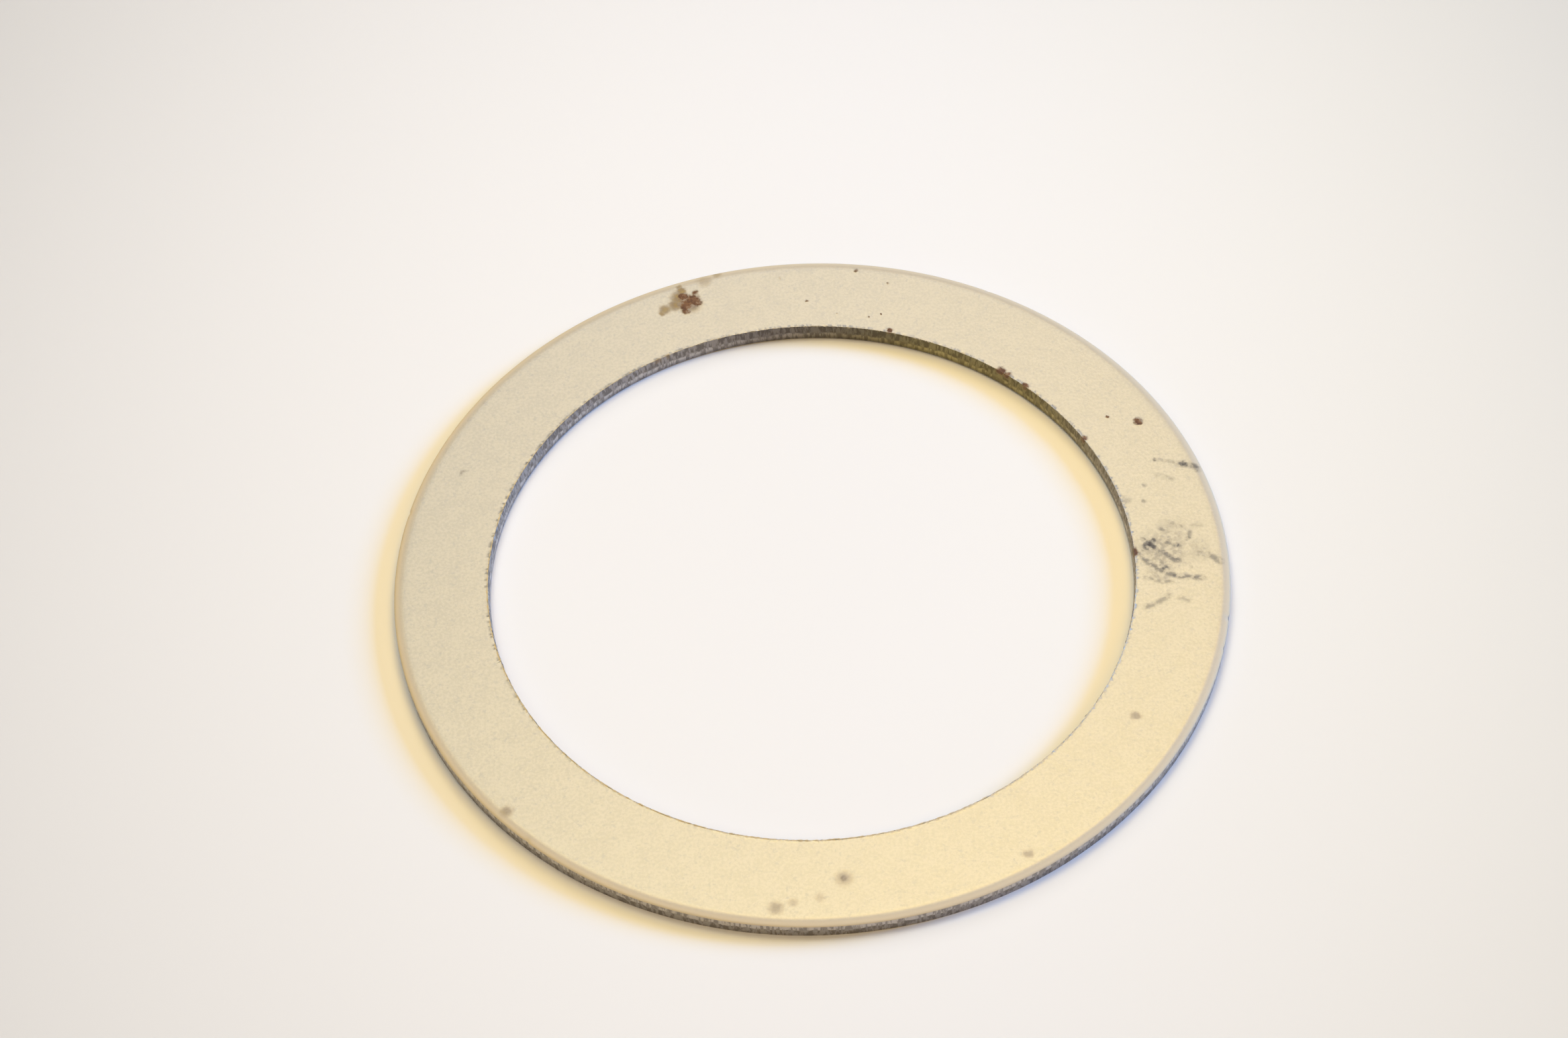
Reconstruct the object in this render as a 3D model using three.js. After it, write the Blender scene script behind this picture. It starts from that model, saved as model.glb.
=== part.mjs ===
// A large flat washer, stamped in one stroke from 16-gauge steel sheet.
// The model is in millimetres, with +Z up. The origin is the centre of the face it rests on.

import * as THREE from 'three';

// Driving dimensions
const outerDiameter = 72.5;
const boreDiameter = 56;
const thickness = 1.6;

// Rims that the punch and the die leave. The outer rim is rolled at the top, where the sheet was
// drawn down into the die. The bore is rolled at the bottom, where the slug was pushed up and out.
const outerRoll = { width: 1.0, depth: 0.22 };
const boreRoll = { width: 0.4, depth: 0.2 };

// Each sheared wall is straight next to its roll, then breaks away from the cut in a rough zone.
const breakHeight = 0.55 * thickness;
const breakTaper = 0.09;

// Facets
const facetsAround = 120;
const facetsPerRoll = 4;

const outerRadius = outerDiameter / 2;
const boreRadius = boreDiameter / 2;

const sheetSteel = new THREE.MeshStandardMaterial({
  name: 'sheet_steel',
  color: 0xd8ccae,
  roughness: 0.6,
  metalness: 0.8,
});

/** Outer wall of the section, from the resting face up to the top face. */
function traceOuterWall(section) {
  const rollFoot = thickness - outerRoll.depth;
  const rollStart = outerRadius - outerRoll.width;
  section.lineTo(outerRadius - breakTaper, 0);
  section.lineTo(outerRadius, breakHeight);
  section.lineTo(outerRadius, rollFoot);
  section.absellipse(rollStart, rollFoot, outerRoll.width, outerRoll.depth, 0, Math.PI / 2, false);
}

/** Bore wall of the section, from the top face down to the resting face. */
function traceBoreWall(section) {
  const rollEnd = boreRadius + boreRoll.width;
  const { width, depth } = boreRoll;
  section.lineTo(boreRadius + breakTaper, thickness);
  section.lineTo(boreRadius, thickness - breakHeight);
  section.lineTo(boreRadius, depth);
  section.absellipse(rollEnd, depth, width, depth, Math.PI, 1.5 * Math.PI, false);
}

/** Closed section of the ring, with x as the distance from the axis and y as the height. */
function ringSection() {
  const section = new THREE.Path();
  section.moveTo(boreRadius + boreRoll.width, 0);
  traceOuterWall(section);
  traceBoreWall(section);
  return section.getPoints(facetsPerRoll / 2);
}

/** The stamped ring, turned so that its axis is vertical. */
function washerRing() {
  const geometry = new THREE.LatheGeometry(ringSection(), facetsAround);
  geometry.rotateX(Math.PI / 2);
  const ring = new THREE.Mesh(geometry, sheetSteel);
  ring.name = 'washer_ring';
  return ring;
}

const flatWasher = new THREE.Group();
flatWasher.add(washerRing());

export default flatWasher;
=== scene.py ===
"""The looks of a large flat washer, stamped in one stroke from 16-gauge steel sheet.

The washer is one ring. Its section is traced through the shapes that a punch and a die leave: a rolled
rim, a burnished band, a torn zone and a burr. The section is spun round the bore, and the torn walls,
the burr, the dented rims and the tumbled faces are then worked into the mesh. Two finishes dress it: a
dull tumbled face, marked by rust and scuffs, and a dark sheared wall.

Sizes of the washer are in millimetres, as on a drawing, and mm() turns them into the scene's metres.
Angles are in degrees. Bearings go anticlockwise from +X, seen from above.
"""

import logging
import math
from dataclasses import dataclass, field
from enum import Enum

import bpy
from mathutils import Matrix, Vector


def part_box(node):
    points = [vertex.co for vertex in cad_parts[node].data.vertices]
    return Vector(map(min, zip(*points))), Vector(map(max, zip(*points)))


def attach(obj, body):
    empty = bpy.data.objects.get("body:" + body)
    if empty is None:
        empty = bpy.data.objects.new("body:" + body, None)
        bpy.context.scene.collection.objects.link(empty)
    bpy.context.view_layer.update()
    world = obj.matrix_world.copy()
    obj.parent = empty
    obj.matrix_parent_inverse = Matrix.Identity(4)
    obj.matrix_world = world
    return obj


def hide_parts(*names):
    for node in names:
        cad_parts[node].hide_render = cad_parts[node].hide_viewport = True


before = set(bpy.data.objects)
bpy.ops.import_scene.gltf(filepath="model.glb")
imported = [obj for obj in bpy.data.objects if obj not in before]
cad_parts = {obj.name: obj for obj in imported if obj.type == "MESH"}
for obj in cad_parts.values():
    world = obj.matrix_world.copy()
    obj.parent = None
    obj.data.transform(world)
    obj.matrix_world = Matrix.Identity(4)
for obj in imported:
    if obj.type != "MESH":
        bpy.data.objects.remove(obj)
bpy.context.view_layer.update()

log = logging.getLogger("washer")

NODE = "washer_ring"
MM_PER_METRE = 1000.0

Point = tuple[float, float]
Place = tuple[float, float, float]
Colour = tuple[float, float, float]
Socket = bpy.types.NodeSocket
Node = bpy.types.Node
Group = bpy.types.NodeTree
Material = bpy.types.Material

BLACK: Colour = (0.0, 0.0, 0.0)


def mm(length: float) -> float:
    """Return a length in millimetres as metres."""
    return length / MM_PER_METRE


class Axis(Enum):
    """Ways in which worked metal is pushed."""

    UP = "Z"
    OUT = "NORMAL"


class Zone(Enum):
    """Stretches of the ring's surface, each worked in its own way."""

    FACES = "faces"
    TORN = "torn_walls"
    BREAK_LINE = "break_line"
    BURNISHED = "burnished_walls"
    BURR = "burr"
    DENTS = "rim_dents"
    CRUST = "rust_crust"


class Kind(Enum):
    """What a socket of a shader group carries."""

    NUMBER = "NodeSocketFloat"
    COLOUR = "NodeSocketColor"
    VECTOR = "NodeSocketVector"


class Layering(Enum):
    """Ways of laying one colour over another."""

    COVER = "MIX"
    STAIN = "MULTIPLY"


@dataclass(frozen=True)
class Spot:
    """A round mark: the x and y of its middle, its radius, and its strength, 1 for a plain mark."""

    x: float
    y: float
    size: float
    strength: float = 1.0


@dataclass(frozen=True)
class Stroke:
    """A rubbed mark: the points that it runs through, its half width and its strength."""

    points: tuple[Point, ...]
    width: float
    strength: float = 1.0


# Rust on the top face where it is thick and brown: first the large patch, then single spots.
BROWN_RUST = (
    Spot(-9.9, 32.1, 0.80),
    Spot(-9.6, 31.7, 0.62, 0.9),
    Spot(-10.6, 31.5, 0.78),
    Spot(-10.5, 30.7, 0.48, 0.85),
    Spot(-10.8, 32.5, 0.56, 0.95),
    Spot(-9.7, 33.0, 0.36, 0.85),
    Spot(-10.1, 31.8, 1.15, 0.55),
    Spot(29.9, 15.0, 0.50),
    Spot(27.2, 15.7, 0.20),
    Spot(5.4, 34.9, 0.24, 0.6),
    Spot(0.7, 31.3, 0.19, 0.6),
    Spot(8.3, 33.1, 0.17, 0.5),
    Spot(7.4, 29.3, 0.16, 0.8),
    Spot(6.3, 28.9, 0.14, 0.6),
    Spot(3.4, 29.6, 0.14, 0.5),
    Spot(-1.8, 34.3, 0.18, 0.4),
    Spot(1.6, -31.9, 0.50, 0.42),
)

# Rust where it is a thin tan film, round the large patch and in single faint spots.
TAN_RUST = (
    Spot(-11.2, 32.4, 0.85),
    Spot(-11.5, 31.5, 0.75),
    Spot(-11.0, 33.2, 0.50),
    Spot(-11.2, 33.8, 0.28, 0.8),
    Spot(-12.5, 31.0, 0.62, 0.9),
    Spot(-12.8, 30.5, 0.34, 0.9),
    Spot(-10.2, 31.6, 1.15, 0.8),
    Spot(-8.8, 34.4, 0.75, 0.38),
    Spot(-7.6, 35.2, 0.45, 0.55),
    Spot(1.6, -31.9, 0.80, 0.35),
    Spot(-4.0, -34.4, 0.70, 0.42),
    Spot(-2.6, -34.0, 0.45, 0.25),
    Spot(-0.4, -33.6, 0.50, 0.22),
    Spot(-25.9, -24.0, 0.60, 0.55),
    Spot(26.6, -17.1, 0.48, 0.45),
    Spot(16.6, -30.3, 0.50, 0.38),
)

# Rust that has started in the burr along the bore's top edge.
EDGE_RUST = (
    Spot(8.2, 27.2, 0.34),
    Spot(18.0, 21.7, 0.52),
    Spot(18.6, 21.2, 0.40, 0.9),
    Spot(20.1, 19.8, 0.40),
    Spot(24.9, 13.3, 0.34),
    Spot(28.0, 0.2, 0.60, 0.8),
    Spot(-13.2, 24.7, 0.40, 0.5),
    Spot(-12.3, 25.2, 0.30, 0.4),
)

# Black smudges where another part has rubbed.
SMUDGES = (
    Spot(29.4, 0.9, 0.66, 0.95),
    Spot(29.8, 0.7, 0.40, 0.85),
    Spot(29.0, 1.5, 0.30, 0.8),
    Spot(29.9, 1.4, 0.30, 0.8),
    Spot(30.6, 0.4, 2.40, 0.32),
    Spot(30.2, -2.0, 1.30, 0.30),
    Spot(31.4, 2.3, 1.60, 0.24),
    Spot(33.6, 0.2, 1.50, 0.16),
    Spot(31.0, 1.1, 0.30, 0.6),
    Spot(31.8, 0.8, 0.36, 0.9),
    Spot(32.9, 1.5, 0.30, 0.8),
    Spot(32.3, 2.8, 0.34, 0.5),
    Spot(30.8, 2.6, 0.36, 0.5),
    Spot(31.7, 3.2, 0.30, 0.35),
    Spot(30.6, -1.7, 0.42, 0.8),
    Spot(31.3, -2.5, 0.26, 0.7),
    Spot(33.0, -2.9, 0.30, 0.6),
    Spot(32.8, -1.7, 0.22, 0.35),
    Spot(29.9, -0.6, 1.00, 0.30),
    Spot(29.7, 7.6, 0.24, 0.4),
    Spot(29.5, 5.8, 0.26, 0.45),
    Spot(28.0, 6.1, 0.55, 0.28),
    Spot(30.9, 10.5, 0.24, 0.8),
    Spot(33.4, 9.9, 0.34, 0.9),
)

# Black scuffs, drawn out where the other part has slid.
SCUFFS = (
    Stroke(((28.7, 0.2), (28.9, -0.6), (29.7, -1.5), (30.6, -2.2)), 0.38, 0.57),
    Stroke(((30.6, -2.2), (32.0, -2.7), (33.7, -2.9)), 0.36, 0.57),
    Stroke(((30.4, 0.2), (31.0, -0.3), (31.8, -0.9)), 0.42, 0.61),
    Stroke(((30.4, 0.1), (30.3, -1.6)), 0.36, 0.45),
    Stroke(((30.7, 1.2), (32.0, 0.7)), 0.36, 0.49),
    Stroke(((33.1, 2.1), (32.9, 1.5)), 0.32, 0.45),
    Stroke(((33.7, -0.2), (34.5, -0.4), (35.4, -1.2)), 0.38, 0.49),
    Stroke(((28.8, -2.6), (30.2, -3.2), (31.0, -3.1)), 0.29, 0.41),
    Stroke(((28.5, -5.8), (29.4, -5.5), (30.6, -4.7)), 0.36, 0.41),
    Stroke(((31.6, -5.0), (32.2, -5.2)), 0.32, 0.29),
    Stroke(((31.0, 10.5), (33.0, 10.0)), 0.23, 0.33),
    Stroke(((33.0, 9.9), (34.4, 9.5), (34.6, 9.2)), 0.36, 0.70),
    Stroke(((31.0, 8.7), (32.2, 8.2)), 0.32, 0.29),
    Stroke(((33.3, 2.9), (34.1, 2.9)), 0.32, 0.29),
    Stroke(((-30.9, 12.1), (-30.8, 12.5), (-30.4, 12.6)), 0.18, 0.37),
)

# The stretches of the bore's wall that are tinted: olive by old oil together with painted reflection of
# the warm-lit floor, and dark.
OIL_AND_BOUNCE_TINT = Spot(16.0, 23.0, 17.0)
DARK_STAIN = Spot(1.0, 28.0, 10.0)

# The stretch of the bore's top edge where the burr is heavy.
HEAVY_BURR = Spot(6.0, 20.0, 30.0)

# Dents in the two rims.
DENTS = (
    Spot(35.5, -7.2, 0.50),
    Spot(34.7, -10.4, 0.35, 0.7),
    Spot(-35.3, 8.1, 0.40, 0.6),
    Spot(-24.2, -26.9, 0.40, 0.6),
    Spot(17.5, 31.6, 0.30, 0.5),
    Spot(-3.9, 27.8, 0.25, 0.5),
)


@dataclass(frozen=True)
class Cuts:
    """How many pieces each stretch of the section is cut into."""

    underside: int = 8
    outer_torn: int = 7
    outer_burnished: int = 3
    outer_roll: int = 9
    top_face: int = 23
    burr: int = 2
    bore_torn: int = 8
    bore_burnished: int = 4
    bore_roll: int = 4


@dataclass(frozen=True)
class PunchedSection:
    """The section of the punched ring, in millimetres: x is the distance from the axis, y the height.

    The outer rim is rolled at the top and the bore at the bottom, as when the ring and its slug are cut
    in one stroke. From each roll the wall runs straight, then breaks away to a sharp edge.
    """

    outer_radius: float
    bore_radius: float
    thickness: float
    outer_roll_width: float = 1.0
    outer_roll_depth: float = 0.22
    bore_roll_width: float = 0.4
    bore_roll_depth: float = 0.2
    break_share: float = 0.55
    break_taper: float = 0.09
    burr_width: float = 0.09
    burr_lean: float = 0.02
    burr_height: float = 0.025
    burr_root: float = 0.03
    cuts: Cuts = Cuts()

    @property
    def outer_roll(self) -> Point:
        """Return the width and the depth of the outer rim's roll."""
        return self.outer_roll_width, self.outer_roll_depth

    @property
    def bore_roll(self) -> Point:
        """Return the width and the depth of the bore's roll."""
        return self.bore_roll_width, self.bore_roll_depth

    @property
    def break_height(self) -> float:
        """Return the height of the torn zone on each wall."""
        return self.break_share * self.thickness

    @property
    def bore_break(self) -> float:
        """Return the height at which the bore's burnished band gives way to the torn zone."""
        return self.thickness - self.break_height

    @property
    def bore_edge(self) -> float:
        """Return the radius of the bore's sharp edge, at the top."""
        return self.bore_radius + self.break_taper

    @property
    def outer_edge(self) -> float:
        """Return the radius of the outer wall's sharp edge, at the foot."""
        return self.outer_radius - self.break_taper

    @property
    def middle_radius(self) -> float:
        """Return the radius halfway across the ring's width."""
        return (self.bore_radius + self.outer_radius) / 2

    @staticmethod
    def straight(start: Point, end: Point, pieces: int) -> list[Point]:
        """Return the points of a straight stretch after its start.

        Args:
            start: where the stretch begins.
            end: where it ends.
            pieces: how many equal pieces it is cut into.

        Returns:
            The end of each piece, in order.
        """
        run, rise = end[0] - start[0], end[1] - start[1]
        shares = [step / pieces for step in range(1, pieces + 1)]
        return [(start[0] + run * share, start[1] + rise * share) for share in shares]

    @staticmethod
    def quarter(centre: Point, width: float, depth: float, first: float, pieces: int) -> list[Point]:
        """Return the points of a quarter ellipse after its start.

        Args:
            centre: the centre of the ellipse.
            width: its half width.
            depth: its half height.
            first: the angle at which the quarter begins.
            pieces: how many pieces it is cut into.

        Returns:
            The end of each piece, in order.
        """
        turns = [math.radians(first + 90.0 * step / pieces) for step in range(1, pieces + 1)]
        return [(centre[0] + width * math.cos(a), centre[1] + depth * math.sin(a)) for a in turns]

    def outline(self) -> list[Point]:
        """Trace the section anticlockwise, from the inner end of the underside.

        Returns:
            The points of the outline, which ends where it begins.
        """
        outer, bore, top, cuts = self.outer_radius, self.bore_radius, self.thickness, self.cuts
        start = (bore + self.bore_roll_width, 0.0)
        outer_foot = (self.outer_edge, 0.0)
        outer_break = (outer, self.break_height)
        roll_foot = (outer, top - self.outer_roll_depth)
        roll_centre = (outer - self.outer_roll_width, roll_foot[1])
        roll_top = (roll_centre[0], top)
        burr_foot = (self.bore_edge + self.burr_width, top)
        burr_tip = (self.bore_edge + self.burr_lean, top + self.burr_height)
        burr_root = (self.bore_edge, top - self.burr_root)
        bore_break = (bore, self.bore_break)
        bore_roll_head = (bore, self.bore_roll_depth)
        bore_roll_centre = (start[0], self.bore_roll_depth)
        points = [start]
        points += self.straight(start, outer_foot, cuts.underside)
        points += self.straight(outer_foot, outer_break, cuts.outer_torn)
        points += self.straight(outer_break, roll_foot, cuts.outer_burnished)
        points += self.quarter(roll_centre, *self.outer_roll, first=0.0, pieces=cuts.outer_roll)
        points += self.straight(roll_top, burr_foot, cuts.top_face)
        points += self.straight(burr_foot, burr_tip, cuts.burr)
        points.append(burr_root)
        points += self.straight(burr_root, bore_break, cuts.bore_torn)
        points += self.straight(bore_break, bore_roll_head, cuts.bore_burnished)
        points += self.quarter(bore_roll_centre, *self.bore_roll, first=180.0, pieces=cuts.bore_roll)
        return points


@dataclass(frozen=True)
class Working:
    """One way in which the metal is worked: a zone pushed along an axis, as a rule by a rough pattern.

    The grain is the size of the pattern's lumps, first across the ring and then along its axis. Where
    the pattern is at its middle the metal stays in place, and from 0 to 1 it moves by the depth. With
    no grain the whole zone moves.
    """

    name: str
    zone: Zone
    axis: Axis
    depth: float
    grain: Point | None = None
    middle: float = 0.5
    detail: int = 2


WORKINGS = (
    Working("uneven_break", Zone.BREAK_LINE, Axis.UP, 0.34, grain=(0.9, 0.9), detail=3),
    Working("torn_grooves", Zone.TORN, Axis.OUT, 0.09, grain=(0.24, 1.6)),
    Working("torn_lumps", Zone.TORN, Axis.OUT, 0.07, grain=(1.6, 0.5), detail=1),
    Working("drawn_lines", Zone.BURNISHED, Axis.OUT, 0.016, grain=(0.22, 4.0), detail=1),
    Working("burr_teeth", Zone.BURR, Axis.UP, 0.11, grain=(0.30, 0.30), middle=0.42),
    Working("burr_raggedness", Zone.BURR, Axis.OUT, 0.16, grain=(0.34, 0.34), middle=0.45),
    Working("tumbled_grain", Zone.FACES, Axis.OUT, 0.012, grain=(0.55, 0.55)),
    Working("rust_lumps", Zone.CRUST, Axis.OUT, 0.10, grain=(0.45, 0.45), middle=0.2),
    Working("pressed_dents", Zone.DENTS, Axis.OUT, -0.10, middle=0.0),
)


@dataclass(frozen=True)
class Reach:
    """How far each zone reaches, in millimetres."""

    level: float = 0.002
    beside_wall: float = 0.005
    above_foot: float = 0.01
    below_break: float = 0.01
    before_roll: float = 0.02
    about_break: float = 0.35
    face_from_bore: float = 0.3
    burr_across: float = 0.07
    burr_down: float = 0.035
    wall_finish: float = 0.04
    burr_finish: float = 0.02
    roll_finish: float = 0.01


@dataclass
class WasherRing:
    """The stamped ring: its section, its fineness, and the reach of the zones worked into it."""

    section: PunchedSection
    reach: Reach = Reach()
    steps_around: int = 1440
    parts_around: int = 12
    weld_gap: float = 0.002
    burr_side_hold: float = 0.5
    crease_angle: float = 40.0
    piece: bpy.types.Object = field(init=False)

    def build(self) -> bpy.types.Object:
        """Model the ring, up to the finishes.

        Returns:
            The ring's object.
        """
        self.trace_section()
        self.spin_section()
        self.mark_zones()
        for working in WORKINGS:
            self.work_metal(working)
        self.smooth()
        return self.piece

    def trace_section(self) -> None:
        """Draw the section as a closed chain of edges standing at the ring's +X side."""
        bpy.ops.object.select_all(action="DESELECT")
        bpy.ops.mesh.primitive_plane_add(size=mm(1.0))
        self.piece = bpy.context.object
        self.piece.name = "washer"
        outline = self.section.outline()
        first = outline[0]
        bpy.ops.object.mode_set(mode="EDIT")
        bpy.ops.mesh.select_all(action="SELECT")
        bpy.ops.mesh.merge(type="CENTER")
        bpy.ops.transform.translate(value=(mm(first[0]), 0.0, mm(first[1])))
        for here, there in zip(outline, outline[1:]):
            step = (mm(there[0] - here[0]), 0.0, mm(there[1] - here[1]))
            bpy.ops.mesh.extrude_vertices_move(TRANSFORM_OT_translate={"value": step})
        self.weld()

    def weld(self) -> None:
        """Merge the vertices that lie in the same place."""
        bpy.ops.mesh.select_all(action="SELECT")
        bpy.ops.mesh.remove_doubles(threshold=mm(self.weld_gap))

    def spin_section(self) -> None:
        """Spin the section through one part of a turn, copy that part round, and close the ring."""
        steps = self.steps_around // self.parts_around
        copies = self.parts_around - 1
        part = math.tau / self.parts_around
        rest = part * copies
        bpy.ops.mesh.spin(steps=steps, angle=part, center=(0, 0, 0), axis=(0, 0, 1))
        bpy.ops.mesh.select_all(action="SELECT")
        bpy.ops.mesh.spin(dupli=True, steps=copies, angle=rest, center=(0, 0, 0), axis=(0, 0, 1))
        self.weld()
        bpy.ops.mesh.normals_make_consistent(inside=False)
        bpy.ops.object.mode_set(mode="OBJECT")

    def zone_weights(self, radius: float, height: float) -> dict[Zone, float]:
        """Find how strongly each zone holds a point of the section.

        Args:
            radius: the point's distance from the axis, in millimetres.
            height: its height, in millimetres.

        Returns:
            The zones that hold the point, each with a weight from 0 to 1.
        """
        s, reach = self.section, self.reach
        near_bore = radius < s.middle_radius
        line = s.bore_break if near_bore else s.break_height
        from_edge = s.thickness - height if near_bore else height
        on_bore = radius < s.bore_edge + reach.beside_wall
        on_rim = radius > s.outer_edge - reach.beside_wall and height > reach.above_foot
        on_roll = from_edge > s.thickness - s.bore_roll_depth - reach.before_roll
        on_burr = near_bore and radius < s.bore_edge + reach.burr_across
        weights: dict[Zone, float] = {}
        if (on_bore or on_rim) and not on_roll:
            torn = from_edge < s.break_height - reach.below_break
            weights[Zone.TORN if torn else Zone.BURNISHED] = 1.0
            weights[Zone.BREAK_LINE] = max(0.0, 1.0 - abs(height - line) / reach.about_break)
        if abs(height - s.thickness) < reach.level and radius > s.bore_radius + reach.face_from_bore:
            weights[Zone.FACES] = 1.0
        if on_burr and height > s.thickness - reach.burr_down:
            weights[Zone.BURR] = 1.0 if height > s.thickness else self.burr_side_hold
        return weights

    def mark_zones(self) -> None:
        """Give each zone a vertex group that holds its vertices."""
        groups = {zone: self.piece.vertex_groups.new(name=zone.value) for zone in Zone}
        for vertex in self.piece.data.vertices:
            x, y, height = (MM_PER_METRE * c for c in vertex.co)
            weights = self.zone_weights(math.hypot(x, y), height)
            if height > self.section.thickness / 2:
                weights[Zone.CRUST] = self.nearness(x, y, BROWN_RUST)
                weights[Zone.DENTS] = self.nearness(x, y, DENTS)
            for zone, weight in weights.items():
                if weight > 0.0:
                    groups[zone].add([vertex.index], weight, "REPLACE")

    @staticmethod
    def nearness(x: float, y: float, spots: tuple[Spot, ...]) -> float:
        """Find how strongly the spots hold a point, fading smoothly to 0 at their edges.

        Args:
            x: the point's x, in millimetres.
            y: the point's y, in millimetres.
            spots: the spots.

        Returns:
            The strongest hold, from 0 to 1.
        """
        strongest = 0.0
        for spot in spots:
            share = 1.0 - math.hypot(x - spot.x, y - spot.y) / spot.size
            if share > 0.0:
                strongest = max(strongest, spot.strength * share * share * (3.0 - 2.0 * share))
        return strongest

    def work_metal(self, working: Working) -> None:
        """Push one zone of the mesh.

        Args:
            working: the zone, and how it is worked.
        """
        push = self.piece.modifiers.new(working.name, "DISPLACE")
        push.vertex_group = working.zone.value
        push.direction = working.axis.value
        push.strength = mm(working.depth)
        push.mid_level = working.middle
        gauge = bpy.data.objects.new(working.name, None)
        if working.grain:
            across, along = working.grain
            gauge.scale = (mm(across), mm(across), mm(along))
            push.texture = bpy.data.textures.new(working.name, type="CLOUDS")
            push.texture.noise_scale = 1.0
            push.texture.noise_depth = working.detail
            push.texture_coords = "OBJECT"
            push.texture_coords_object = gauge
        bpy.context.scene.collection.objects.link(gauge)
        bpy.context.view_layer.objects.active = self.piece
        bpy.context.view_layer.update()
        bpy.ops.object.modifier_apply(modifier=push.name)
        bpy.data.objects.remove(gauge)

    def smooth(self) -> None:
        """Shade the ring smooth, with its sheared edges left sharp."""
        bpy.ops.object.select_all(action="DESELECT")
        self.piece.select_set(True)
        bpy.context.view_layer.objects.active = self.piece
        bpy.ops.object.shade_smooth_by_angle(angle=math.radians(self.crease_angle))
        self.piece.vertex_groups.clear()

    def dress(self, face: Material, wall: Material) -> None:
        """Give the faces and rolls one finish and the sheared walls the other.

        Args:
            face: the finish of the faces and the rolled rims.
            wall: the finish of the sheared walls.
        """
        s, reach = self.section, self.reach
        roll_foot = s.thickness - s.outer_roll_depth
        mesh = self.piece.data
        mesh.materials.append(face)
        mesh.materials.append(wall)
        for polygon in mesh.polygons:
            x, y, height = (MM_PER_METRE * c for c in polygon.center)
            radius = math.hypot(x, y)
            by_bore = radius < s.bore_edge + reach.wall_finish
            by_rim = radius > s.outer_edge - reach.wall_finish
            bore_wall = by_bore and height < s.thickness + reach.burr_finish
            outer_wall = by_rim and height < roll_foot + reach.roll_finish
            polygon.material_index = 1 if bore_wall or outer_wall else 0


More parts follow.
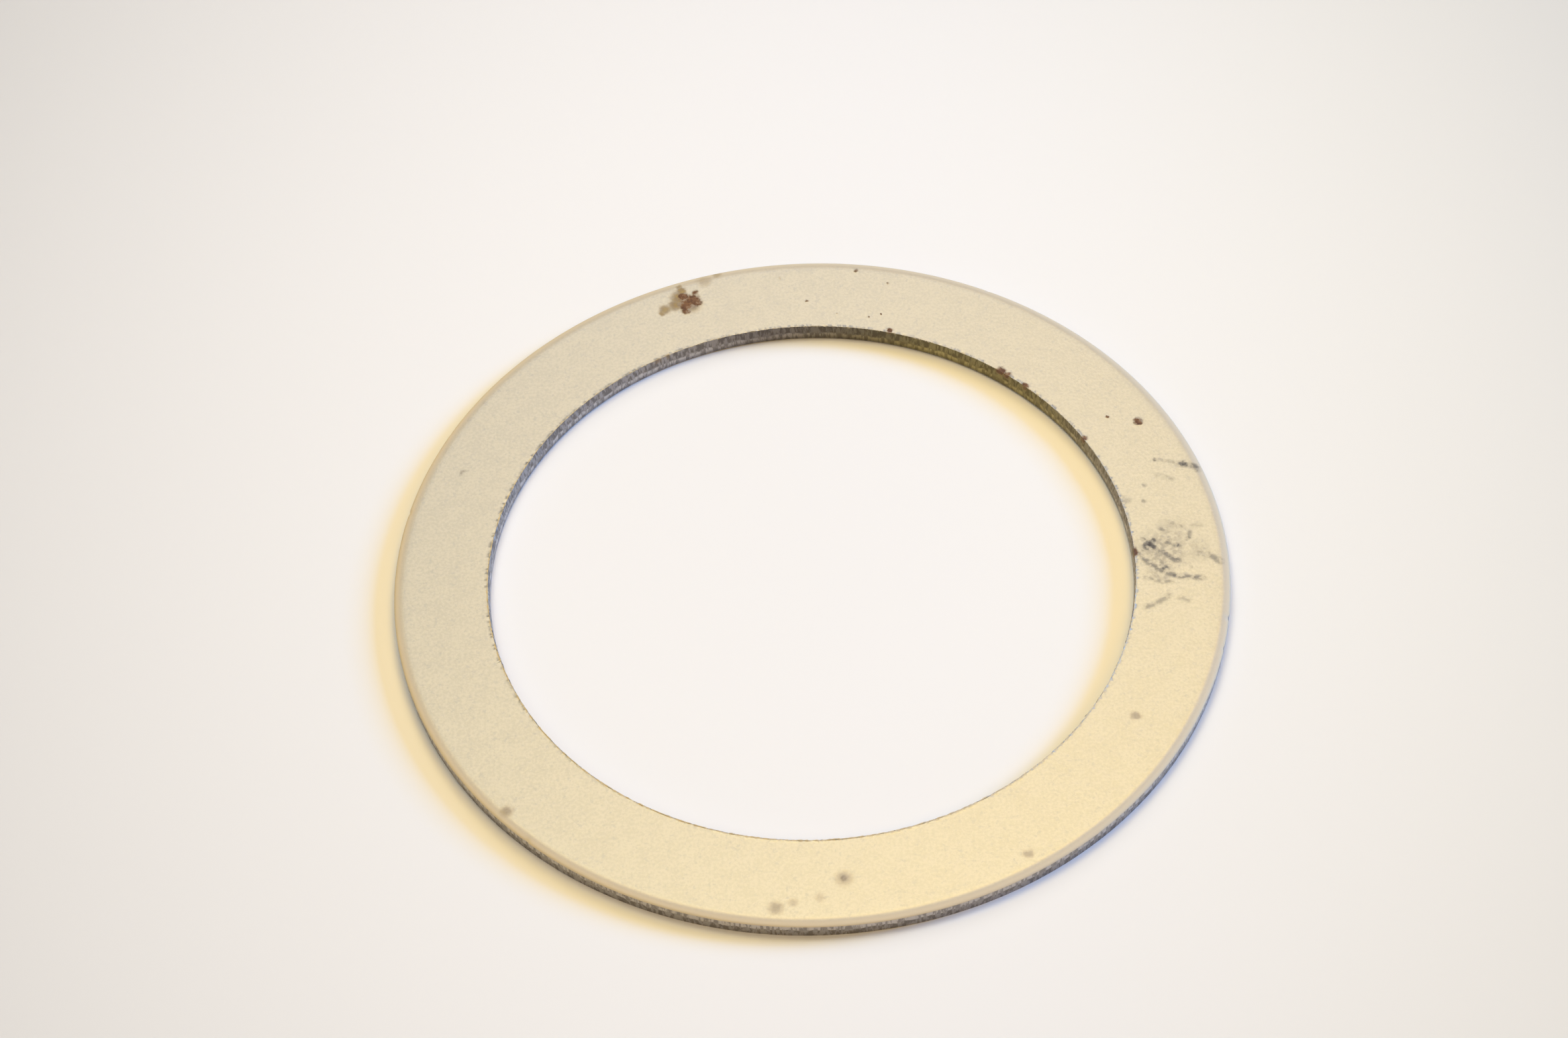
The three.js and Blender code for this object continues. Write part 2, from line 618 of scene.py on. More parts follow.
@dataclass
class NodeBoard:
    """A node tree, with short ways to add and wire its nodes."""

    tree: Group

    def add(self, kind: str, **settings: object) -> Node:
        """Add a node.

        Args:
            kind: the node's type, without the leading ShaderNode.
            settings: properties to set on it.

        Returns:
            The new node.
        """
        node = self.tree.nodes.new("ShaderNode" + kind)
        for name, value in settings.items():
            setattr(node, name, value)
        return node

    def feed(self, target: Socket, value: object) -> None:
        """Wire a socket into another, or set a plain value on it.

        Args:
            target: the socket that is fed.
            value: the socket or the plain value that feeds it.
        """
        if isinstance(value, Socket):
            self.tree.links.new(value, target)
        else:
            target.default_value = value

    def fill(self, node: Node, **values: object) -> Node:
        """Feed a node's inputs, and return the node.

        Args:
            node: the node.
            values: what feeds each input, named with underscores for spaces.

        Returns:
            The same node.
        """
        for name, value in values.items():
            self.feed(node.inputs[name.replace("_", " ")], value)
        return node

    def use(self, group: Group, **values: object) -> Node:
        """Place a group, feed its inputs as fill does, and return its node."""
        return self.fill(self.add("Group", node_tree=group), **values)

    def maths(self, operation: str, *values: object, clamp: bool = False) -> Socket:
        """Work out a sum on up to three values.

        Args:
            operation: the sum, such as MULTIPLY.
            values: sockets or numbers.
            clamp: whether the result is held from 0 to 1.

        Returns:
            The result's socket.
        """
        node = self.add("Math", operation=operation, use_clamp=clamp)
        for target, value in zip(node.inputs, values):
            self.feed(target, value)
        return node.outputs[0]

    def vectors(self, operation: str, *values: object) -> Socket:
        """Work out a sum on vectors.

        Args:
            operation: the sum, such as ADD.
            values: sockets or plain vectors, and for SCALE a number last.

        Returns:
            The result's socket.
        """
        node = self.add("VectorMath", operation=operation)
        targets = [socket for socket in node.inputs if socket.enabled]
        for target, value in zip(targets, values):
            self.feed(target, value)
        return next(socket for socket in node.outputs if socket.enabled)

    def span(
        self, value: object, low: float, high: float, to_low: object = 0.0, to_high: object = 1.0
    ) -> Socket:
        """Map a value smoothly from one span to another, and hold it inside.

        Args:
            value: the value.
            low: the value that maps to to_low.
            high: the value that maps to to_high.
            to_low: what low becomes.
            to_high: what high becomes.

        Returns:
            The mapped value's socket.
        """
        node = self.add("MapRange", interpolation_type="SMOOTHSTEP")
        for target, item in zip(node.inputs, (value, low, high, to_low, to_high)):
            self.feed(target, item)
        return node.outputs[0]

    def noise(self, place: Socket, size: object, detail: float = 2.0, lumpy: float = 0.5) -> Socket:
        """Add a noise.

        Args:
            place: the vector that it follows, in metres.
            size: the size of its lumps, in millimetres.
            detail: how many finer layers it has.
            lumpy: how strong the finer layers are.

        Returns:
            The noise's socket, from 0 to 1.
        """
        is_wired = isinstance(size, Socket)
        scale = self.maths("DIVIDE", MM_PER_METRE, size) if is_wired else MM_PER_METRE / size
        shape = {"Scale": scale, "Detail": detail, "Roughness": lumpy}
        return self.fill(self.add("TexNoise"), Vector=place, **shape).outputs[0]

    def from_above(self, place: Socket) -> Socket:
        """Return a place seen from above: its x and y in millimetres, with no height."""
        return self.vectors("MULTIPLY", place, (MM_PER_METRE, MM_PER_METRE, 0.0))

    def blend(
        self, share: object, under: object, over: object, layering: Layering = Layering.COVER
    ) -> Socket:
        """Lay one colour over another.

        Args:
            share: how much of the upper colour there is.
            under: the lower colour, as a socket or a plain colour.
            over: the upper colour.
            layering: the way in which it is laid.

        Returns:
            The blended colour's socket.
        """
        node = self.add("Mix", data_type="RGBA", blend_type=layering.value, clamp_factor=True)
        colours = [socket for socket in node.inputs if socket.enabled and socket.type == "RGBA"]
        self.fill(node, Factor=share)
        for target, colour in zip(colours, (under, over)):
            self.feed(target, (*colour, 1.0) if isinstance(colour, tuple) else colour)
        return next(socket for socket in node.outputs if socket.enabled)

    def strongest(self, masks: list[Socket]) -> Socket:
        """Find the strongest of several masks.

        Args:
            masks: the masks.

        Returns:
            The strongest mask's socket.
        """
        found = masks[0]
        for mask in masks[1:]:
            found = self.maths("MAXIMUM", found, mask)
        return found


class Effect:
    """A shader group with named inputs and outputs, which the finishes share."""

    def __init__(self, name: str, takes: dict[str, object], gives: dict[str, Kind]) -> None:
        """Start a group.

        Args:
            name: the group's name.
            takes: its inputs, each with its default, or Kind.VECTOR for a vector that has none.
            gives: its outputs, each with its kind.
        """
        self.tree = bpy.data.node_groups.new(name, "ShaderNodeTree")
        self.board = NodeBoard(self.tree)
        for title, default in takes.items():
            is_vector = default is Kind.VECTOR or isinstance(default, tuple)
            socket = self.new_socket(title, "INPUT", Kind.VECTOR if is_vector else Kind.NUMBER)
            if default is not Kind.VECTOR:
                socket.default_value = default
        for title, kind in gives.items():
            self.new_socket(title, "OUTPUT", kind)
        self.given = self.tree.nodes.new("NodeGroupInput").outputs
        self.asked = self.tree.nodes.new("NodeGroupOutput").inputs

    def new_socket(self, title: str, side: str, kind: Kind) -> bpy.types.NodeTreeInterfaceSocket:
        """Add an input or an output to the group."""
        return self.tree.interface.new_socket(name=title, in_out=side, socket_type=kind.value)

    def put(self, title: str, value: Socket) -> None:
        """Send a value out of the group."""
        self.tree.links.new(value, self.asked[title])


def polar_effect() -> Group:
    """Build the group that turns a place into its radius and height, in millimetres.

    Returns:
        The group.
    """
    effect = Effect("ring_place", {"Place": Kind.VECTOR}, {"Radius": Kind.NUMBER, "Height": Kind.NUMBER})
    board, place = effect.board, effect.given["Place"]
    parts = board.fill(board.add("SeparateXYZ"), Vector=place)
    effect.put("Radius", board.vectors("LENGTH", board.from_above(place)))
    effect.put("Height", board.maths("MULTIPLY", parts.outputs["Z"], MM_PER_METRE))
    return effect.tree


def ragged_effect() -> Group:
    """Build the group that shifts a place by a noise, so that a mark's edge is ragged.

    Returns:
        The group.
    """
    takes = {"Place": Kind.VECTOR, "Size": 0.4, "Shift": 0.2}
    effect = Effect("ragged_place", takes, {"Place": Kind.VECTOR})
    board, given = effect.board, effect.given
    noise = board.noise(given["Place"], given["Size"], detail=3.0, lumpy=0.6)
    centred = board.vectors("SUBTRACT", noise.node.outputs["Color"], (0.5, 0.5, 0.5))
    # The centred noise only reaches 0.5 each way, so it is scaled by twice the shift.
    reach = board.maths("DIVIDE", given["Shift"], MM_PER_METRE / 2.0)
    effect.put("Place", board.vectors("ADD", given["Place"], board.vectors("SCALE", centred, reach)))
    return effect.tree


def spot_effect() -> Group:
    """Build the group that masks a round mark on the ring, seen from above.

    Returns:
        The group.
    """
    whole_at, gone_at = 0.30, 1.35
    takes = {"Place": Kind.VECTOR, "Centre": (0.0, 0.0, 0.0), "Size": 0.5, "Strength": 1.0}
    effect = Effect("round_mark", takes, {"Mask": Kind.NUMBER})
    board, given = effect.board, effect.given
    gap = board.vectors("DISTANCE", board.from_above(given["Place"]), given["Centre"])
    mask = board.span(board.maths("DIVIDE", gap, given["Size"]), gone_at, whole_at)
    effect.put("Mask", board.maths("MULTIPLY", mask, given["Strength"]))
    return effect.tree


def stroke_effect() -> Group:
    """Build the group that masks a straight rubbed mark between two places on the ring.

    Returns:
        The group.
    """
    whole_at, gone_at = 0.1, 1.4
    ends = {"Start": (0.0, 0.0, 0.0), "End": (1.0, 0.0, 0.0)}
    takes = {"Place": Kind.VECTOR, **ends, "Width": 0.2, "Strength": 1.0}
    effect = Effect("rubbed_mark", takes, {"Mask": Kind.NUMBER})
    board, given = effect.board, effect.given
    from_start = board.vectors("SUBTRACT", board.from_above(given["Place"]), given["Start"])
    run = board.vectors("SUBTRACT", given["End"], given["Start"])
    along = board.vectors("DOT_PRODUCT", from_start, run)
    whole = board.vectors("DOT_PRODUCT", run, run)
    nearest = board.vectors("SCALE", run, board.maths("DIVIDE", along, whole, clamp=True))
    gap = board.vectors("DISTANCE", from_start, nearest)
    mask = board.span(board.maths("DIVIDE", gap, given["Width"]), gone_at, whole_at)
    effect.put("Mask", board.maths("MULTIPLY", mask, given["Strength"]))
    return effect.tree


def speckle_effect() -> Group:
    """Build the group that scatters soft specks: more of them as the share goes up.

    Returns:
        The group.
    """
    level_with_none, level_drop = 0.68, 0.30
    takes = {"Place": Kind.VECTOR, "Size": 0.2, "Share": 0.3}
    effect = Effect("speckle", takes, {"Mask": Kind.NUMBER})
    board, given = effect.board, effect.given
    noise = board.noise(given["Place"], given["Size"], detail=2.0, lumpy=0.6)
    level = board.maths("MULTIPLY_ADD", given["Share"], -level_drop, level_with_none)
    effect.put("Mask", board.span(board.maths("SUBTRACT", noise, level), -0.05, 0.10))
    return effect.tree


def grain_effect() -> Group:
    """Build the group that gives the metal its fine tumbled grain, as a tone and as a height.

    Returns:
        The group.
    """
    broad_size, broad_strength = 7.0, 0.35
    takes = {"Place": Kind.VECTOR, "Size": 0.3}
    effect = Effect("tumbled_grain", takes, {"Tone": Kind.NUMBER, "Height": Kind.NUMBER})
    board, place, size = effect.board, effect.given["Place"], effect.given["Size"]
    fine = board.noise(place, size, detail=3.0, lumpy=0.6)
    broad = board.noise(place, board.maths("MULTIPLY", size, broad_size))
    swing = board.maths("SUBTRACT", broad, 0.5)
    effect.put("Tone", board.maths("MULTIPLY_ADD", swing, broad_strength, fine))
    effect.put("Height", fine)
    return effect.tree


def rust_effect() -> Group:
    """Build the group that colours rust: a thin tan film, and dark brown where it is thick.

    Returns:
        The group.
    """
    mottle_size = 0.45
    film_dark, film_light = (0.27, 0.165, 0.048), (0.38, 0.265, 0.105)
    crust_light, crust_dark = (0.215, 0.100, 0.040), (0.118, 0.052, 0.024)
    takes = {"Place": Kind.VECTOR, "Film": 0.0, "Crust": 0.0}
    gives = {"Colour": Kind.COLOUR, "Share": Kind.NUMBER, "Height": Kind.NUMBER}
    effect = Effect("rust", takes, gives)
    board, given = effect.board, effect.given
    mottle = board.noise(given["Place"], mottle_size, detail=3.0, lumpy=0.6)
    thick = board.maths("MULTIPLY", given["Crust"], board.span(mottle, 0.30, 0.58, 0.55, 1.0))
    thin = board.maths("MULTIPLY", given["Film"], board.span(mottle, 0.30, 0.62, 0.70, 1.0))
    film = board.blend(board.span(mottle, 0.35, 0.65), film_dark, film_light)
    crust = board.blend(board.span(mottle, 0.40, 0.60), crust_light, crust_dark)
    effect.put("Colour", board.blend(board.span(thick, 0.15, 0.75), film, crust))
    effect.put("Share", board.maths("MAXIMUM", thin, board.span(thick, 0.05, 0.70)))
    effect.put("Height", thick)
    return effect.tree


def burr_effect() -> Group:
    """Build the group that masks the burr along the bore's top edge, and its dark, heavy stretch.

    Returns:
        The group.
    """
    teeth_size, teeth_height, darkest = 0.32, 0.6, 0.75
    whole_at, gone_at = 0.4, 1.3
    takes = {"Place": Kind.VECTOR, "Bore": 28.0, "Heavy Place": (0.0, 0.0, 0.0), "Heavy Size": 1.0}
    effect = Effect("burr", takes, {"Burr": Kind.NUMBER, "Dark": Kind.NUMBER})
    board, given = effect.board, effect.given
    flat = board.from_above(given["Place"])
    teeth = board.maths("SUBTRACT", board.noise(given["Place"], teeth_size, detail=3.0, lumpy=0.6), 0.5)
    ragged = board.maths("MULTIPLY_ADD", teeth, teeth_height, board.vectors("LENGTH", flat))
    from_bore = board.maths("SUBTRACT", ragged, given["Bore"])
    crumbs = board.span(from_bore, 0.16, 0.05)
    gap = board.vectors("DISTANCE", flat, given["Heavy Place"])
    gap_share = board.maths("DIVIDE", gap, given["Heavy Size"])
    heavy = board.span(gap_share, gone_at, whole_at, 0.0, darkest)
    effect.put("Burr", board.span(from_bore, 0.26, 0.14))
    effect.put("Dark", board.maths("MULTIPLY", crumbs, heavy))
    return effect.tree


@dataclass
class Effects:
    """The shader groups, each built once."""

    polar: Group = field(default_factory=polar_effect)
    ragged: Group = field(default_factory=ragged_effect)
    spot: Group = field(default_factory=spot_effect)
    stroke: Group = field(default_factory=stroke_effect)
    speckle: Group = field(default_factory=speckle_effect)
    grain: Group = field(default_factory=grain_effect)
    rust: Group = field(default_factory=rust_effect)
    burr: Group = field(default_factory=burr_effect)


@dataclass
class Coat:
    """A finish in the making: its material, its board and shader, and the place in object coordinates."""

    name: str
    effects: Effects | None = None
    material: Material = field(init=False)
    board: NodeBoard = field(init=False)
    shader: Node = field(init=False)
    place: Socket = field(init=False)

    def __post_init__(self) -> None:
        """Start the material with only its shader."""
        self.material = bpy.data.materials.new(self.name)
        self.material.use_nodes = True
        self.board = NodeBoard(self.material.node_tree)
        self.shader = self.material.node_tree.nodes["Principled BSDF"]
        self.place = self.board.add("TexCoord").outputs["Object"]

    def set(self, **values: object) -> None:
        """Feed the shader's inputs, named with underscores for spaces."""
        self.board.fill(self.shader, **values)

    def use(self, group: Group, **values: object) -> Node:
        """Place a group that follows the coat's place, and feed its other inputs."""
        return self.board.use(group, Place=self.place, **values)

    def ragged(self, size: float, shift: float) -> Socket:
        """Return the place shifted by a noise of a size and a shift in millimetres."""
        return self.use(self.effects.ragged, Size=size, Shift=shift).outputs["Place"]

    def spots(self, place: Socket, spots: tuple[Spot, ...]) -> Socket:
        """Mask round marks.

        Args:
            place: the place that the marks follow.
            spots: the marks.

        Returns:
            One mask of them all.
        """
        masks = []
        for spot in spots:
            shape = {"Centre": (spot.x, spot.y, 0.0), "Size": spot.size, "Strength": spot.strength}
            masks.append(self.board.use(self.effects.spot, Place=place, **shape).outputs["Mask"])
        return self.board.strongest(masks)

    def strokes(self, place: Socket, strokes: tuple[Stroke, ...]) -> Socket:
        """Mask rubbed marks.

        Args:
            place: the place that the marks follow.
            strokes: the marks.

        Returns:
            One mask of them all.
        """
        masks = []
        for stroke in strokes:
            for start, end in zip(stroke.points, stroke.points[1:]):
                shape = {"Start": (*start, 0.0), "End": (*end, 0.0)}
                shape |= {"Width": stroke.width, "Strength": stroke.strength}
                masks.append(self.board.use(self.effects.stroke, Place=place, **shape).outputs["Mask"])
        return self.board.strongest(masks)

    def raise_bump(self, height: Socket, strength: float, depth: float) -> None:
        """Raise the surface by a bump.

        Args:
            height: the pattern that raises it.
            strength: how strongly it shows, from 0 to 1.
            depth: how deep it is, in millimetres.
        """
        bump = self.board.add("Bump")
        self.board.fill(bump, Strength=strength, Distance=mm(depth), Height=height)
        self.set(Normal=bump.outputs["Normal"])


@dataclass(frozen=True)
class TumbledFace:
    """Dull sheet steel, tumbled to a fine grain, duller on the rolled rim and lightened there by painted
    reflection, with rust and scuffs.
    """

    section: PunchedSection
    metal: Colour = (0.507, 0.484, 0.436)
    valley: Colour = (0.442, 0.422, 0.384)
    burr_metal: Colour = (0.66, 0.55, 0.36)
    # The rolled rim's tone: its duller finish, lightened and warmed as a painted reflection of the light
    # the roll catches.
    rolled_tone_and_sheen: Colour = (0.69, 0.585, 0.42)
    speck: Colour = (0.36, 0.352, 0.362)
    dark_edge: Colour = (0.16, 0.14, 0.10)
    scuff: Colour = (0.066, 0.055, 0.050)
    shine: float = 0.75
    roughness: float = 0.46
    dull_roughness: float = 0.80
    grain_size: float = 0.27
    grain_gloss: float = 0.16
    speck_size: float = 0.36
    speck_share: float = 0.22
    speck_strength: float = 0.5
    rim_starts: float = 0.95
    rim_whole: float = 0.20
    rim_dullness: float = 0.62
    scuff_dullness: float = 0.6
    bump_strength: float = 0.45
    bump_depth: float = 0.03
    rust_lift: float = 1.5

    def material(self, effects: Effects) -> Material:
        """Build the finish.

        Args:
            effects: the shared shader groups.

        Returns:
            The material.
        """
        coat = Coat("tumbled_face", effects)
        board = coat.board
        where = coat.use(effects.polar)
        top = board.span(where.outputs["Height"], 0.5, 0.9)
        grain = coat.use(effects.grain, Size=self.grain_size)
        burr = coat.use(effects.burr, Bore=self.section.bore_radius)
        board.fill(burr, Heavy_Place=(HEAVY_BURR.x, HEAVY_BURR.y, 0.0), Heavy_Size=HEAVY_BURR.size)
        rim = self.rim_share(board, where)
        scuffs = board.maths("MULTIPLY", self.scuff_share(coat), top)
        rust = self.rust(coat, top)
        colour = self.bare_metal(coat, grain)
        # Painted reflection: the rolled rim is laid in a lighter, warmer tone as well as dulled.
        colour = board.blend(rim, colour, self.rolled_tone_and_sheen)
        colour = board.blend(burr.outputs["Burr"], colour, self.burr_metal)
        colour = board.blend(burr.outputs["Dark"], colour, self.dark_edge)
        colour = board.blend(scuffs, colour, self.scuff)
        colour = board.blend(rust.outputs["Share"], colour, rust.outputs["Colour"])
        faint = board.maths("MULTIPLY", scuffs, self.scuff_dullness)
        worn = board.maths("MULTIPLY", rim, self.rim_dullness)
        dull = board.strongest([rust.outputs["Share"], faint, burr.outputs["Burr"], worn])
        metallic = board.span(dull, 0.0, 1.0, self.shine, 0.0)
        smoothest = self.roughness - self.grain_gloss / 2
        rough = board.maths("MULTIPLY_ADD", grain.outputs["Tone"], self.grain_gloss, smoothest)
        coarse = board.maths("MAXIMUM", dull, rim)
        roughness = board.span(coarse, 0.0, 1.0, rough, self.dull_roughness)
        coat.set(Base_Color=colour, Metallic=metallic, Roughness=roughness)
        crust, pits = rust.outputs["Height"], grain.outputs["Height"]
        height = board.maths("MULTIPLY_ADD", crust, self.rust_lift, pits)
        coat.raise_bump(height, self.bump_strength, self.bump_depth)
        return coat.material

    def bare_metal(self, coat: Coat, grain: Node) -> Socket:
        """Colour the metal before its marks.

        Args:
            coat: the finish in the making.
            grain: the grain group's node.

        Returns:
            The colour's socket.
        """
        board = coat.board
        speckle = coat.use(coat.effects.speckle, Size=self.speck_size, Share=self.speck_share)
        specks = board.maths("MULTIPLY", speckle.outputs["Mask"], self.speck_strength)
        flat = board.blend(board.span(grain.outputs["Tone"], 0.66, 0.34), self.metal, self.valley)
        return board.blend(specks, flat, self.speck)

    def rim_share(self, board: NodeBoard, where: Node) -> Socket:
        """Return how far a place lies out on the rolled rim, from 0 to 1."""
        rim = self.section.outer_radius
        return board.span(where.outputs["Radius"], rim - self.rim_starts, rim - self.rim_whole)

    def scuff_share(self, coat: Coat) -> Socket:
        """Mask the black scuffs, broken up where they pass over the grain.

        Args:
            coat: the finish in the making.

        Returns:
            The mask's socket.
        """
        board, ragged = coat.board, coat.ragged(size=0.7, shift=0.16)
        both = board.maths("MAXIMUM", coat.spots(ragged, SMUDGES), coat.strokes(ragged, SCUFFS))
        broken = board.span(board.noise(coat.place, size=0.55), 0.36, 0.58, 0.30, 1.0)
        return board.maths("MULTIPLY", both, broken)

    def rust(self, coat: Coat, top: Socket) -> Node:
        """Rust the top face, thick in some marks and thin in others.

        Args:
            coat: the finish in the making.
            top: the mask of the top face.

        Returns:
            The rust group's node.
        """
        ragged = coat.ragged(size=0.5, shift=0.30)
        crust = coat.board.maths("MULTIPLY", coat.spots(ragged, BROWN_RUST + EDGE_RUST), top)
        film = coat.board.maths("MULTIPLY", coat.spots(ragged, TAN_RUST), top)
        return coat.use(coat.effects.rust, Film=film, Crust=crust)


@dataclass(frozen=True)
class ShearedWall:
    """The punched walls: a smooth band drawn by the tool, then a dark torn zone out to the edge."""

    section: PunchedSection
    burnished: Colour = (0.55, 0.51, 0.48)
    torn: Colour = (0.19, 0.165, 0.145)
    # Painted shadow: the dark colour laid on the burnished band just above the bore's roll, where the
    # roll's shade falls.
    line: Colour = (0.08, 0.07, 0.065)
    # Olive tint: partly old oil, partly painted reflection of the warm-lit floor.
    oil_and_bounce: Colour = (0.80, 0.75, 0.38)
    stain: Colour = (0.58, 0.56, 0.57)
    shine: float = 0.45
    smooth_roughness: float = 0.38
    torn_roughness: float = 0.52
    streak_size: float = 0.30
    streak_squeeze: float = 0.25
    streaks_on_smooth: float = 0.8
    streaks_on_torn: float = 0.5
    shade_by_roll: float = 0.45
    unevenness: float = 0.75
    bump_strength: float = 0.6
    bump_depth: float = 0.03

    def material(self, effects: Effects) -> Material:
        """Build the finish.

        Args:
            effects: the shared shader groups.

        Returns:
            The material.
        """
        coat = Coat("sheared_wall", effects)
        board = coat.board
        where = coat.use(effects.polar)
        torn = self.torn_share(coat, where)
        streaks = self.streaks(coat)
        colour = self.bare_metal(board, where, torn, streaks)
        bore = board.maths("LESS_THAN", where.outputs["Radius"], self.section.middle_radius)
        # The olive tint is partly old oil and partly painted reflection of the warm-lit floor.
        for mark, tint in ((OIL_AND_BOUNCE_TINT, self.oil_and_bounce), (DARK_STAIN, self.stain)):
            tint_share = board.maths("MULTIPLY", coat.spots(coat.place, (mark,)), bore)
            colour = board.blend(tint_share, colour, tint, Layering.STAIN)
        rust = self.edge_rust(coat, where)
        colour = board.blend(rust.outputs["Share"], colour, rust.outputs["Colour"])
        metallic = board.span(rust.outputs["Share"], 0.0, 1.0, self.shine, 0.0)
        roughness = board.span(torn, 0.0, 1.0, self.smooth_roughness, self.torn_roughness)
        coat.set(Base_Color=colour, Metallic=metallic, Roughness=roughness)
        coat.raise_bump(streaks, self.bump_strength, self.bump_depth)
        return coat.material

    def bare_metal(self, board: NodeBoard, where: Node, torn: Socket, streaks: Socket) -> Socket:
        """Colour the sheared metal before its stains, with painted shade laid on the band above the
        bore's roll.

        Args:
            board: the material's board.
            where: the ring place group's node.
            torn: how far the place lies in the torn zone.
            streaks: the noise of the drawn lines.

        Returns:
            The colour's socket.
        """
        roll = self.section.bore_roll_depth
        lined = board.span(streaks, 0.42, 0.58)
        lines = board.maths("MULTIPLY", lined, self.streaks_on_smooth)
        smooth = board.blend(lines, self.burnished, self.torn)
        # Painted shadow: the band darkens towards the bore's roll, where its shade falls.
        roll_shadow_share = board.span(where.outputs["Height"], roll + 0.42, roll + 0.08, 0.0, self.shade_by_roll)
        smooth = board.blend(roll_shadow_share, smooth, self.line)
        glints = board.maths("MULTIPLY", lined, self.streaks_on_torn)
        return board.blend(torn, smooth, board.blend(glints, self.torn, self.burnished))

    def torn_share(self, coat: Coat, where: Node) -> Socket:
        """Find how far a place lies in the torn zone of its wall, with an uneven edge.

        Args:
            coat: the finish in the making.
            where: the ring place group's node.

        Returns:
            The share's socket, from 0 to 1.
        """
        s, board = self.section, coat.board
        uneven = board.maths("SUBTRACT", board.noise(coat.place, size=1.1, detail=3.0, lumpy=0.6), 0.5)
        height = board.maths("MULTIPLY_ADD", uneven, self.unevenness, where.outputs["Height"])
        on_bore = board.span(height, s.bore_break - 0.02, s.bore_break + 0.22)
        on_rim = board.span(height, s.break_height + 0.06, s.break_height - 0.06)
        outside = board.maths("GREATER_THAN", where.outputs["Radius"], s.middle_radius)
        return board.span(outside, 0.0, 1.0, on_bore, on_rim)

    def streaks(self, coat: Coat) -> Socket:
        """Return the noise of the lines that the tool has drawn down the wall."""
        drawn = coat.board.vectors("MULTIPLY", coat.place, (1.0, 1.0, self.streak_squeeze))
        return coat.board.noise(drawn, self.streak_size, detail=3.0, lumpy=0.6)

    def edge_rust(self, coat: Coat, where: Node) -> Node:
        """Rust the wall below the bore's top edge.

        Args:
            coat: the finish in the making.
            where: the ring place group's node.

        Returns:
            The rust group's node.
        """
        near_top = coat.board.span(where.outputs["Height"], 0.9, 1.5)
        marks = coat.spots(coat.ragged(size=0.7, shift=0.26), EDGE_RUST)
        return coat.use(coat.effects.rust, Crust=coat.board.maths("MULTIPLY", marks, near_top))


@dataclass(frozen=True)
class SoftBox:
    """A square studio light that faces the washer: its bearing, its height angle, and its colour.

    Its distance and its side are in metres, and its power in watts.
    """

    name: str
    bearing: float
    elevation: float
    distance: float
    side: float
    colour: Colour
    power: float

    def light(self) -> None:
        """Hang the light."""
        lamp = bpy.data.lights.new(self.name, "AREA")
        lamp.shape = "SQUARE"
        lamp.size = self.side
        lamp.color = self.colour
        lamp.energy = self.power
        light = bpy.data.objects.new(self.name, lamp)
        turn, rise = math.radians(self.bearing), math.radians(self.elevation)
        level = math.cos(rise)
        towards = Vector((math.cos(turn) * level, math.sin(turn) * level, math.sin(rise)))
        light.location = towards * self.distance
        light.rotation_euler = towards.to_track_quat("Z", "Y").to_euler()
        bpy.context.scene.collection.objects.link(light)


@dataclass(frozen=True)
class PaleFloor:
    """The plain floor: a pale tone round the washer, with painted warm light to the right, and painted
    falloff of light that darkens it far out.

    The painted falloff of light starts past the even stretch, measured from the middle in millimetres,
    and its rate rises by a power. Its stretch is how much a millimetre from front to back counts.
    """

    pale: Colour = (0.880, 0.862, 0.851)
    # Painted warm light: the floor's tone turns warmer towards the right.
    warm_lit_tone: Colour = (0.906, 0.873, 0.806)
    warm_from: float = 0.0
    warm_to: float = 70.0
    # Painted falloff of light: the floor darkens away from this middle.
    middle: Point = (-2.4, 15.7)
    stretch: float = 0.704
    even: float = 22.0
    fade_rate: float = 0.00038
    fade_power: float = 1.53
    fade_most: float = 0.3
    roughness: float = 0.6
    specular: float = 0.3

    def material(self) -> Material:
        """Build the finish.

        Returns:
            The material.
        """
        coat = Coat("pale_floor")
        board = coat.board
        moved = board.vectors("ADD", coat.place, (-mm(self.middle[0]), -mm(self.middle[1]), 0.0))
        scales = (MM_PER_METRE, MM_PER_METRE * self.stretch, 0.0)
        gap = board.vectors("LENGTH", board.vectors("MULTIPLY", moved, scales))
        # Painted shade: the floor is darkened towards black far from the middle, as light falls off.
        past = board.maths("MAXIMUM", board.maths("SUBTRACT", gap, self.even), 0.0)
        painted_falloff = board.maths("MULTIPLY", board.maths("POWER", past, self.fade_power), self.fade_rate)
        # Painted warm light: the tone warms towards the right, as if lit from that side.
        across = board.fill(board.add("SeparateXYZ"), Vector=coat.place).outputs["X"]
        painted_warm_light = board.span(across, mm(self.warm_from), mm(self.warm_to))
        tone = board.blend(painted_warm_light, self.pale, self.warm_lit_tone)
        colour = board.blend(board.maths("MINIMUM", painted_falloff, self.fade_most), tone, BLACK)
        coat.set(Base_Color=colour, Roughness=self.roughness, Specular_IOR_Level=self.specular)
        return coat.material


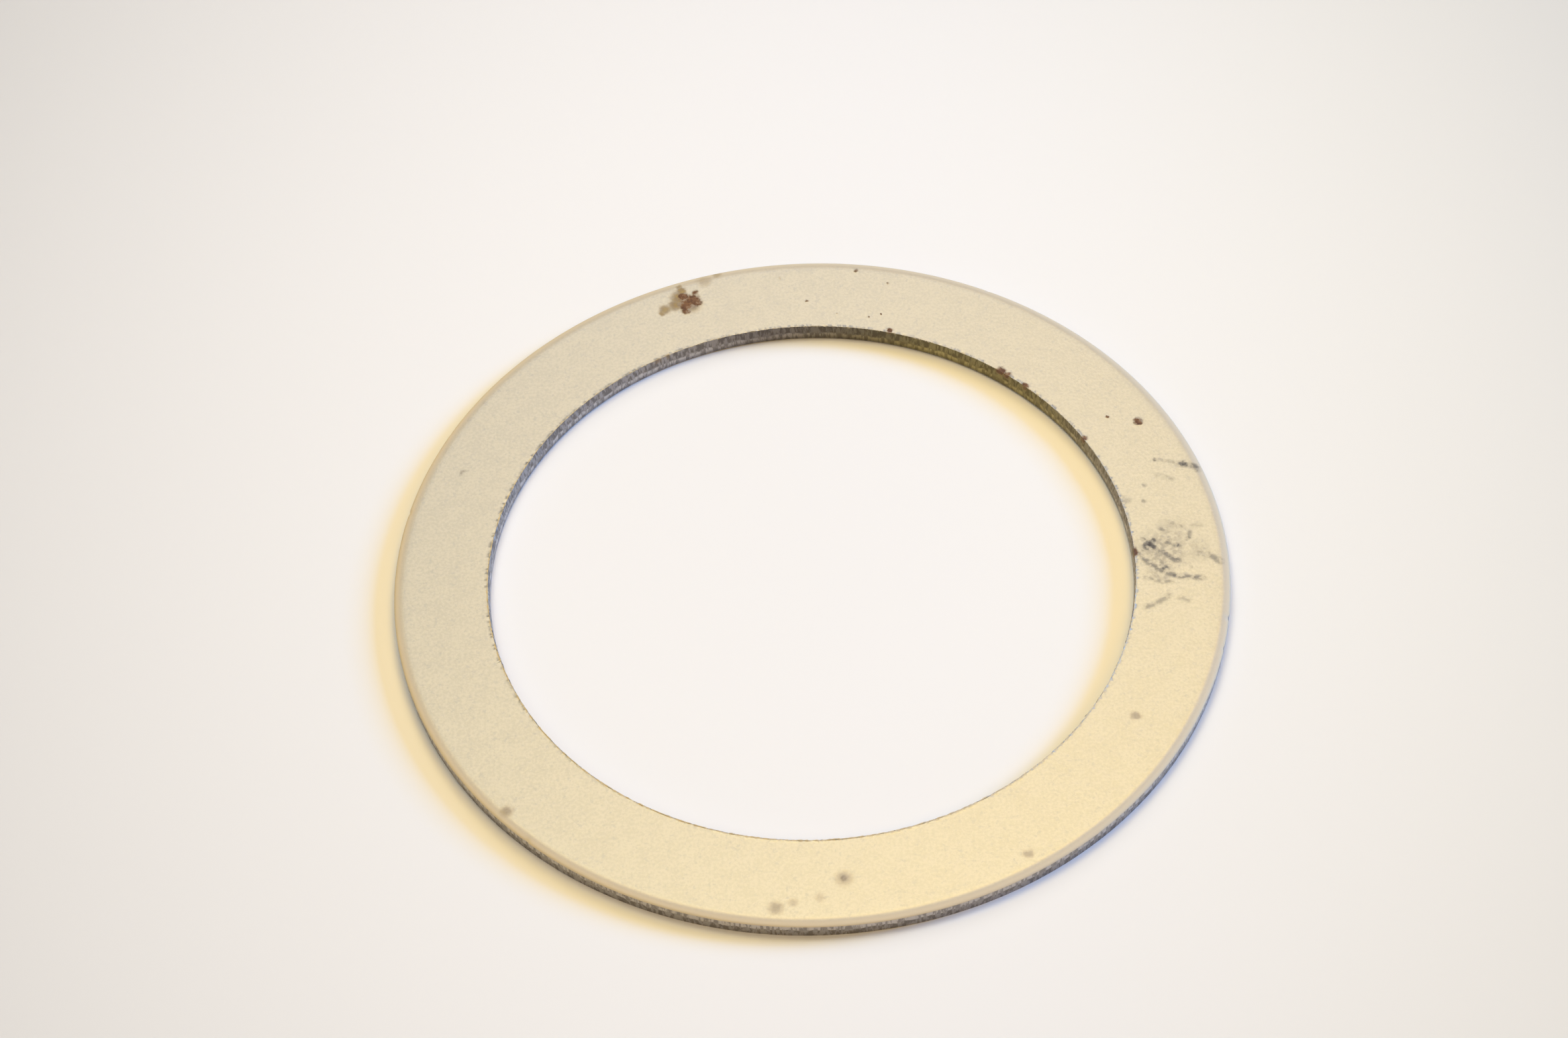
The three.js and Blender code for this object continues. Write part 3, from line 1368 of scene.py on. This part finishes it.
@dataclass
class Studio:
    """The stage: the pale floor, the soft lights and the camera, all in metres."""

    floor_side: float = 4.0
    floor: PaleFloor = PaleFloor()
    sky_colour: Colour = (0.12, 0.105, 0.085)
    lights: tuple[SoftBox, ...] = (
        SoftBox("window_light", 17.0, 28.0, 1.2, 0.45, (0.037, 0.36, 1.0), 15.3),
        SoftBox("lamp_light", 138.0, 75.0, 0.8, 0.28, (1.0, 0.94, 0.70), 1.50),
        SoftBox("ceiling_light", 60.0, 68.0, 0.8, 0.40, (1.0, 0.72, 0.15), 2.32),
        SoftBox("far_wall_light", 90.0, 45.0, 0.8, 0.40, (1.0, 0.97, 0.97), 1.16),
        SoftBox("near_right_light", 300.0, 55.0, 0.8, 0.40, (1.0, 0.55, 0.05), 1.43),
        SoftBox("near_left_light", 240.0, 55.0, 0.8, 0.40, (0.87, 0.98, 1.0), 0.97),
    )
    camera_place: Place = (0.0, -0.1734, 0.2253)
    camera_aim: Place = (-0.0022, 0.0068, 0.0)
    camera_roll: float = -2.98
    camera_lens: float = 74.8
    camera_sensor: float = 36.0
    camera_nearest: float = 0.01
    camera_furthest: float = 20.0

    def build(self) -> None:
        """Set the stage."""
        self.lay_floor()
        self.set_sky()
        for box in self.lights:
            box.light()
            log.info("light %s at a bearing of %.0f degrees", box.name, box.bearing)
        self.place_camera()
        bpy.context.scene.view_settings.view_transform = "Standard"

    def lay_floor(self) -> None:
        """Lay the plain pale floor that the washer rests on."""
        bpy.ops.object.select_all(action="DESELECT")
        bpy.ops.mesh.primitive_plane_add(size=self.floor_side)
        floor = bpy.context.object
        floor.name = "floor"
        floor.data.materials.append(self.floor.material())

    def set_sky(self) -> None:
        """Surround the stage with an even, dim light."""
        world = bpy.data.worlds.new("room")
        world.use_nodes = True
        background = world.node_tree.nodes["Background"]
        background.inputs["Color"].default_value = (*self.sky_colour, 1.0)
        background.inputs["Strength"].default_value = 1.0
        bpy.context.scene.world = world

    def place_camera(self) -> None:
        """Stand the camera over the near side, a little rolled, and aim it at the ring."""
        lens = bpy.data.cameras.new("camera")
        lens.lens = self.camera_lens
        lens.sensor_width = self.camera_sensor
        lens.clip_start = self.camera_nearest
        lens.clip_end = self.camera_furthest
        camera = bpy.data.objects.new("camera", lens)
        place, aim = Vector(self.camera_place), Vector(self.camera_aim)
        facing = (aim - place).to_track_quat("-Z", "Y").to_matrix().to_4x4()
        roll = Matrix.Rotation(math.radians(self.camera_roll), 4, "Z")
        camera.matrix_world = Matrix.Translation(place) @ facing @ roll
        bpy.context.scene.collection.objects.link(camera)
        bpy.context.scene.camera = camera


def section_from_frame() -> PunchedSection:
    """Size the ring's section from the frame.

    Returns:
        The section.
    """
    low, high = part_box(NODE)
    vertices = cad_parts[NODE].data.vertices
    bore = min(math.hypot(v.co.x, v.co.y) for v in vertices)
    return PunchedSection(
        outer_radius=MM_PER_METRE * high.x,
        bore_radius=MM_PER_METRE * bore,
        thickness=MM_PER_METRE * (high.z - low.z),
    )


def main() -> None:
    """Set the stage, then build and dress the washer."""
    logging.basicConfig(level=logging.INFO)
    Studio().build()
    section = section_from_frame()
    effects = Effects()
    ring = WasherRing(section)
    piece = ring.build()
    ring.dress(TumbledFace(section).material(effects), ShearedWall(section).material(effects))
    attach(piece, "root")
    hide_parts(NODE)
    log.info("%s: %d faces", piece.name, len(piece.data.polygons))


if __name__ == "__main__":
    main()
